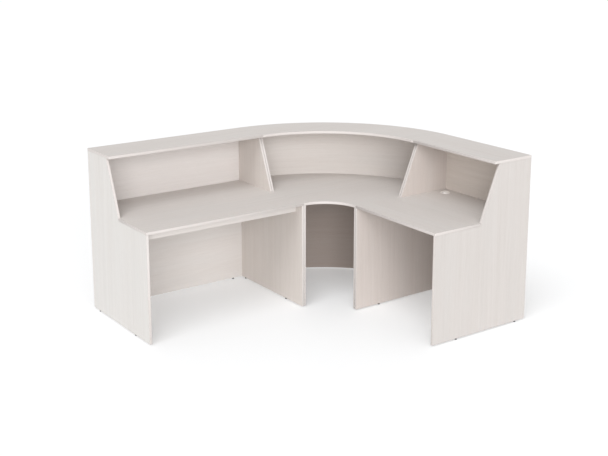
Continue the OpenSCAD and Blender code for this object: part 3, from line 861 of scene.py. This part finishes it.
def cap_mesh():
    bm = bmesh.new()
    plate(bm, [slotted_disc(CAP_R)], *CAP_Z, 0.9 * MM, 0.3 * MM)
    plate(bm, [slotted_ring(*SKIRT_R)], SKIRT_FOOT, CAP_Z[0] + 0.1 * MM, 0.1 * MM, 0.5 * MM)
    head = [
        (0, CAP_Z[1] - 0.1 * MM),
        (PIVOT_R, CAP_Z[1] - 0.1 * MM),
        (PIVOT_R, PIVOT_HEAD_Z[0]),
        (PIVOT_HEAD_R, PIVOT_HEAD_Z[0]),
        (PIVOT_HEAD_R, PIVOT_HEAD_Z[1]),
        (0, PIVOT_HEAD_Z[1]),
    ]
    lathe(bm, rounded_profile(head, [0, 0, 0, 0.1 * MM, 0.5 * MM, 0]), 40)
    return mesh_of("grommet_lid", bm)


def shutter_mesh():
    bm = bmesh.new()
    plate(bm, [slotted_disc(SHUTTER_R), round_hole(SHUTTER_BORE_R)], *SHUTTER_Z, 0.6 * MM, 0.2 * MM)
    grip = bar(GRIP_HALF_L, *GRIP_Y)
    plate(bm, [grip], SHUTTER_Z[1] - 0.2 * MM, GRIP_TOP, 0.8 * MM, 0)
    return mesh_of("grommet_turning_shutter", bm)


ring_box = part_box("grommet_sleeve")
GROMMET_AT = ((ring_box[0].x + ring_box[1].x) / 2, (ring_box[0].y + ring_box[1].y) / 2, WORKTOP_TOP)
for name, mesh, body, node in (
    ("grommet_ring", sleeve_mesh(), "counter", "grommet_sleeve"),
    ("grommet_lid", cap_mesh(), "grommet_cap", "grommet_cap"),
    ("grommet_turning_shutter", shutter_mesh(), "grommet_shutter", "grommet_shutter"),
):
    mesh.materials.append(PALE_PLASTIC)
    made = bpy.data.objects.new(name, mesh)
    made.location = GROMMET_AT
    made.rotation_euler = (0, 0, math.pi / 2)
    bpy.context.scene.collection.objects.link(made)
    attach(made, body)
    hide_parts(node)

# ---- Fittings: cover caps, connector bolts, brackets and screws, where the CAD solids are ----


def solids(node):
    """The points of each separate solid in a CAD node, as arrays."""
    bm = bmesh.new()
    bm.from_mesh(frame["nodes"][node].data)
    bmesh.ops.remove_doubles(bm, verts=bm.verts, dist=0.01 * MM)
    found, seen = [], set()
    for start in bm.verts:
        if start in seen:
            continue
        seen.add(start)
        points, queue = [], [start]
        while queue:
            vert = queue.pop()
            points.append(vert.co[:])
            for edge in vert.link_edges:
                other = edge.other_vert(vert)
                if other not in seen:
                    seen.add(other)
                    queue.append(other)
        found.append(np.array(points))
    bm.free()
    return found


def spread(points):
    """A solid's middle and the directions of its spread, from the least to the most."""
    middle = points.mean(axis=0)
    _, directions = np.linalg.eigh(np.cov((points - middle).T))
    return middle, directions.T


def placed(at, out):
    """A place at a point, whose +Z looks outwards."""
    return Matrix.Translation(at) @ Vector(out).to_track_quat("Z", "Y").to_matrix().to_4x4()


def pin_place(points):
    """Where a bolt's or screw's head ends, looking out of the head."""
    middle, directions = spread(points)
    axis = directions[2]
    along = (points - middle) @ axis
    away = np.linalg.norm(points - middle - np.outer(along, axis), axis=1)
    if along[away.argmax()] < 0:
        axis, along = -axis, -along
    return placed(middle + axis * along.max(), axis)


def cap_places():
    """Each cover cap's outer face, looking away from the cam behind it."""
    cams = [points.mean(axis=0) for points in solids("cam_housings")]
    places = []
    for points in solids("cam_caps"):
        middle, directions = spread(points)
        axis = directions[0]
        cam = min(cams, key=lambda at: np.linalg.norm(at - middle))
        if (middle - cam) @ axis < 0:
            axis = -axis
        places.append(placed(middle + axis * CAP_COVER_T / 2, axis))
    return places


def bracket_places():
    """Each bracket's outer bend, with +Y along its upper leg and +Z up."""
    places = []
    for points in solids("angle_brackets"):
        top = points[:, 2].max()
        upper = points[points[:, 2] > top - 2 * BRACKET_T].mean(axis=0)
        lower = points[points[:, 2] < top - BRACKET_LEG / 2].mean(axis=0)
        leg = Vector((*(upper - lower)[:2], 0)).normalized()
        across = leg.cross(UP)
        back = min(Vector(p).dot(leg) for p in points)
        side = sum(Vector(p).dot(across) for p in points) / len(points)
        at = leg * back + across * side + UP * top
        places.append(Matrix.Translation(at) @ Matrix((across, leg, UP)).transposed().to_4x4())
    return places


def group(name, model, places, slot, *nodes):
    """One piece with a copy of the model at each place."""
    bm = bmesh.new()
    for place in places:
        known = len(bm.verts)
        bm.from_mesh(model)
        bm.verts.ensure_lookup_table()
        bmesh.ops.transform(bm, matrix=place, verts=bm.verts[known:])
    mesh = bpy.data.meshes.new(name)
    bm.to_mesh(mesh)
    bm.free()
    for material in model.materials:
        mesh.materials.append(material)
    return piece(name, mesh, None, "counter", slot, *nodes)


CAP_COVER_R = 7.4 * MM
CAP_COVER_T = 1 * MM
CAP_CROWN = 0.35 * MM
CONNECTOR_HEAD = (7 * MM, 1.6 * MM)
CONNECTOR_R = 3 * MM
CONNECTOR_LEN = 27.6 * MM
SLEEVE_NUT_R = (3.05 * MM, 4 * MM)
SLEEVE_NUT_LEN = 25.6 * MM
HEX_R = 2.9 * MM
SOCKET_DEPTH = 2.4 * MM
SOCKET_FLOOR_T = 0.5 * MM
SCREW_R = 1.9 * MM
SCREW_HEAD = (3.6 * MM, 2 * MM)
SCREW_LEN = 15.5 * MM
SCREW_TAPER = 3 * MM
CROSS = (0.55 * MM, 1.9 * MM)
CROSS_DEPTH = 1.3 * MM
BRACKET_LEG = 30 * MM
BRACKET_W = 18 * MM
BRACKET_T = 1.5 * MM
BRACKET_BEND = 1 * MM
BRACKET_HOLE_R = 2.2 * MM
BRACKET_HOLE_AT = 19 * MM
BRACKET_END_R = 3 * MM
BRACKET_EDGE = 0.2 * MM


def model_mesh(name, bm, material):
    mesh = mesh_of(name, bm, FITTING_SMOOTH)
    mesh.materials.append(material)
    return mesh


def cover_cap_model():
    bm = bmesh.new()
    crown = [(CAP_COVER_R * share, CAP_CROWN * (1 - share * share)) for share in (0.75, 0.5, 0.25, 0)]
    profile = [(0, -CAP_COVER_T), (CAP_COVER_R, -CAP_COVER_T), (CAP_COVER_R, 0), *crown]
    lathe(bm, rounded_profile(profile, [0, 0.1 * MM, 0.4 * MM, 0, 0, 0, 0]), 40)
    return model_mesh("cover_cap", bm, DECOR_PLASTIC)


def hexagon(radius):
    return lambda inset: arc_points((0, 0), radius + inset, 0, 300, 5)


def cross(half, reach):
    """A plus-shaped hole; inset widens it."""

    def outline(inset):
        h, r = half + inset, reach + inset
        quarter = [(r, -h), (r, h), (h, h)]
        points = []
        for turn in range(4):
            c, s = ((1, 0), (0, 1), (-1, 0), (0, -1))[turn]
            points += [(x * c - y * s, x * s + y * c) for x, y in quarter]
        return points

    return outline


def disc(radius, steps=40):
    return lambda inset: arc_points((0, 0), radius - inset, 0, 360 - 360 / steps, steps - 1)


def drive_head(bm, radius, height, hole, depth, body_r):
    """A low round head with its drive hole; the hole goes on into the shank and has a floor."""
    plate(bm, [disc(radius), hole], -height, 0, 0.5 * height, 0.1 * height)
    if depth > height:
        plate(bm, [disc(body_r), hole], -depth, -height * 0.9, 0, 0)
    plate(bm, [disc(body_r)], -depth - SOCKET_FLOOR_T, -depth, 0, 0)


def bolt_model():
    bm = bmesh.new()
    drive_head(bm, *CONNECTOR_HEAD, hexagon(HEX_R), SOCKET_DEPTH, CONNECTOR_R)
    shank = [
        (0, -CONNECTOR_LEN),
        (CONNECTOR_R, -CONNECTOR_LEN),
        (CONNECTOR_R, -SOCKET_DEPTH),
        (0, -SOCKET_DEPTH),
    ]
    lathe(bm, rounded_profile(shank, [0, 0.6 * MM, 0, 0]), 40)
    return model_mesh("connector_bolt", bm, ZINC_PLATE)


def sleeve_nut_model():
    bm = bmesh.new()
    bore, radius = SLEEVE_NUT_R
    drive_head(bm, *CONNECTOR_HEAD, hexagon(HEX_R), SOCKET_DEPTH, radius)
    tube = [
        (bore, -SLEEVE_NUT_LEN),
        (radius, -SLEEVE_NUT_LEN),
        (radius, -SOCKET_DEPTH),
        (bore, -SOCKET_DEPTH),
    ]
    lathe(bm, rounded_profile(tube, [0.2 * MM, 0.4 * MM, 0, 0], closed=True), 40, closed=True)
    return model_mesh("connector_sleeve_nut", bm, ZINC_PLATE)


def screw_model():
    bm = bmesh.new()
    drive_head(bm, *SCREW_HEAD, cross(*CROSS), CROSS_DEPTH, SCREW_R)
    under = -SCREW_HEAD[1]
    tip = -SCREW_LEN
    shank = [
        (0, tip),
        (SCREW_R * 0.3, tip + 0.4 * MM),
        (SCREW_R, tip + SCREW_TAPER),
        (SCREW_R, under),
        (0, under),
    ]
    lathe(bm, shank, 24)
    return model_mesh("bracket_screw", bm, ZINC_PLATE)


def leg_outline(inset):
    """A bracket leg from its bend to its rounded end."""
    side, end = BRACKET_W / 2 - inset, BRACKET_LEG - inset
    start = BRACKET_BEND + BRACKET_T
    round_r = BRACKET_END_R - inset
    right = arc_points((side - round_r, end - round_r), round_r, 0, 90, 6)
    left = arc_points((round_r - side, end - round_r), round_r, 90, 180, 6)
    return [(-side, start), (side, start), *right, *left]


def leg_hole(inset):
    return arc_points((0, BRACKET_HOLE_AT), BRACKET_HOLE_R + inset, 0, 345, 23)


def bracket_model():
    """A bracket's lower leg and its bend.

    Known fault: the upper leg is missing. Its vertices are marked by index, but the second plate numbers
    them again, so the first leg turns too and lies on the second, with one vertex left behind.
    """
    bm = bmesh.new()
    plate(bm, [leg_outline, leg_hole], -BRACKET_T, 0, BRACKET_EDGE, BRACKET_EDGE, 2)
    for vert in bm.verts:
        vert.index = 1
    plate(bm, [leg_outline, leg_hole], -BRACKET_T, 0, BRACKET_EDGE, BRACKET_EDGE, 2)
    for vert in bm.verts:
        if vert.index != 1:
            vert.co = (vert.co.x, -vert.co.z, -vert.co.y)
    outer = BRACKET_BEND + BRACKET_T
    bend = (outer, -outer)
    section = arc_points(bend, outer, 180, 90, 8) + arc_points(bend, BRACKET_BEND, 90, 180, 8)
    half = BRACKET_W / 2
    ends = [[bm.verts.new((x, y, z)) for y, z in section] for x in (-half, half)]
    for i, vert in enumerate(ends[0]):
        bm.faces.new([ends[0][i - 1], vert, ends[1][i], ends[1][i - 1]])
    for end in ends:
        bm.faces.new(end)
    return model_mesh("bracket", bm, ZINC_PLATE)


group("cover_caps", cover_cap_model(), cap_places(), "fitting_plastic", "cam_caps")
bolts = [pin_place(points) for points in solids("connector_bolts")]
group("connector_bolt_set", bolt_model(), bolts, "steel", "connector_bolts")
nuts = [pin_place(points) for points in solids("connector_sleeves")]
group("connector_nut_set", sleeve_nut_model(), nuts, "steel", "connector_sleeves")
group("bracket_set", bracket_model(), bracket_places(), "steel", "angle_brackets")
screws = [pin_place(points) for points in solids("bracket_screws")]
group("bracket_screw_set", screw_model(), screws, "zinc", "bracket_screws")

# ---- Floor, light and camera ----

FLOOR_HALF = 60
FLOOR_COLOUR = (0.64, 0.64, 0.64, 1)
FLOOR_GLOW = 0.31  # lightens the floor's shadows
WORLD_STRENGTH = 0.64
WHITE = (1, 1, 1, 1)


def floor():
    bm = bmesh.new()
    for x, y in ((-1, -1), (1, -1), (1, 1), (-1, 1)):
        bm.verts.new((x * FLOOR_HALF, y * FLOOR_HALF, 0))
    bm.faces.new(bm.verts)
    shader = Shader("floor", roughness=0.6, Specular_IOR_Level=0.2)
    shader.set(Base_Color=FLOOR_COLOUR)
    shader.set(Emission_Color=WHITE, Emission_Strength=FLOOR_GLOW)
    mesh = mesh_of("floor", bm)
    mesh.materials.append(shader.material)
    made = bpy.data.objects.new("floor", mesh)
    bpy.context.scene.collection.objects.link(made)


def world(strength):
    made = bpy.data.worlds.new("studio")
    made.use_nodes = True
    background = made.node_tree.nodes["Background"]
    background.inputs["Color"].default_value = WHITE
    background.inputs["Strength"].default_value = strength
    bpy.context.scene.world = made


def sun(name, azimuth, elevation, strength, softness, colour):
    """A soft lamp far away. Azimuth is the compass angle it stands at, anticlockwise from +X."""
    data = bpy.data.lights.new(name, "SUN")
    data.energy = strength
    data.angle = math.radians(softness)
    data.color = colour
    made = bpy.data.objects.new(name, data)
    a, e = math.radians(azimuth), math.radians(elevation)
    toward = Vector((math.cos(a) * math.cos(e), math.sin(a) * math.cos(e), math.sin(e)))
    made.rotation_euler = toward.to_track_quat("Z", "Y").to_euler()
    made.location = toward * 10
    bpy.context.scene.collection.objects.link(made)


# Each lamp: its name, compass angle, height angle and strength
LAMPS = [
    ("front_low", 240, 12, 1.75),
    ("right_low", 270, 12, 0.46),
    ("left_high", 210, 55, 1.38),
]
LAMP_SOFTNESS = 35
LAMP_COLOUR = (0.98, 1.0, 1.02)

CAMERA_AT = (-4.094, -5.747, 2.727)
CAMERA_YAW = 54.658
CAMERA_DOWN = 12.863
CAMERA_LENS = 64.56
CAMERA_SHIFT = -0.12


def camera():
    data = bpy.data.cameras.new("camera")
    data.lens = CAMERA_LENS
    data.shift_y = CAMERA_SHIFT
    made = bpy.data.objects.new("camera", data)
    made.location = CAMERA_AT
    turn = (math.radians(90 - CAMERA_DOWN), 0, math.radians(CAMERA_YAW - 90))
    made.rotation_euler = turn
    bpy.context.scene.collection.objects.link(made)
    bpy.context.scene.camera = made


floor()
world(WORLD_STRENGTH)
for name, azimuth, elevation, strength in LAMPS:
    sun(name, azimuth, elevation, strength, LAMP_SOFTNESS, LAMP_COLOUR)
camera()
bpy.context.scene.view_settings.view_transform = "Standard"
